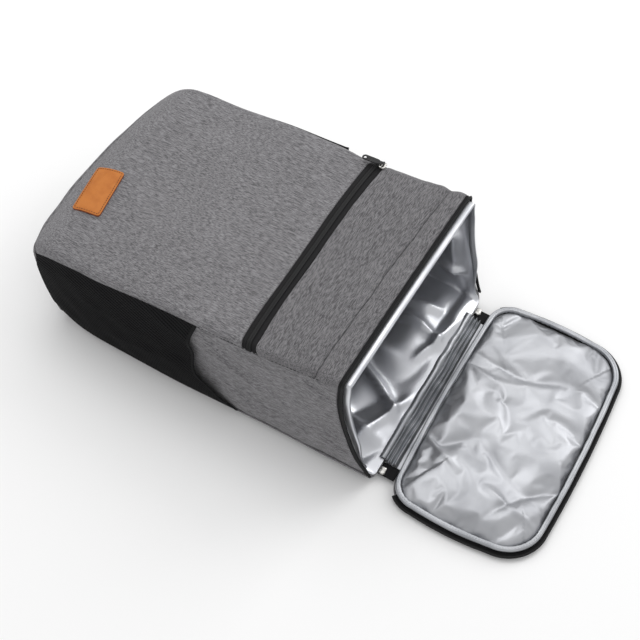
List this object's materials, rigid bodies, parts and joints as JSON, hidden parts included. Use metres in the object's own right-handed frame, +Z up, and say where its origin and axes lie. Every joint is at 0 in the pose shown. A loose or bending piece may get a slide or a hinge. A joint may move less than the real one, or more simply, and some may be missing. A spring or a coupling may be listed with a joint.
{
  "type": "cooler backpack",
  "caption": "Padded grey cooler backpack lying on its back, its mouth unzipped to show the foil compartment, with the lid folded out flat on the floor.",
  "frame": {"origin": "middle of the bounding box on the floor, with the bag lying on its back", "axes": "+X from the bottom of the bag towards its mouth and the lid, +Y across towards the side with the front zip's slider, +Z up from the floor, out of the front panel"},
  "size_m": [0.6566, 0.3172, 0.1827],
  "materials": {
    "melange": "grey melange woven fabric",
    "mesh": "black ribbed mesh",
    "zip": "black zip tape",
    "foil": "silver foil over thin foam",
    "leather": "tan, stitched, satin",
    "metal": "plated zip slider",
    "enamel": "black",
    "strap": "black padded fabric and webbing"
  },
  "bodies": {
    "bag": {"back_panel": "melange", "bottom_panel": "melange", "front_pocket_panel": "melange", "front_zip_coil": "zip", "front_zip_slider": "metal", "front_zip_tape": "zip", "hinge_gusset": "foil", "hinge_tab_far": "zip", "hinge_tab_near": "zip", "ladder_lock_far": "enamel", "ladder_lock_near": "enamel", "leather_patch": "leather", "lid_lining": "foil", "lid_rim": "foil", "lid_shell": "melange", "lid_zip_tape": "zip", "lining_tub": "foil", "mesh_pocket_far": "mesh", "mesh_pocket_near": "mesh", "mouth_band": "melange", "mouth_slider_far": "metal", "mouth_slider_near": "metal", "mouth_zip_coil": "zip", "mouth_zip_tape": "zip", "pocket_hem_far": "mesh", "pocket_hem_near": "mesh", "shoulder_strap_far": "strap", "shoulder_strap_near": "strap", "side_panel_far": "melange", "side_panel_near": "melange", "strap_webbing_far": "strap", "strap_webbing_near": "strap", "upper_front_panel": "melange"},
    "zip_pull": {"front_zip_pull": "enamel"}
  },
  "joints": [
    {"name": "zip_pull_flip", "type": "hinge", "parent": "bag", "child": "zip_pull", "pos_m": [-0.02428, 0.13582, 0.16911], "axis": [0, 1, 0], "range_deg": [0, 150]}
  ]
}
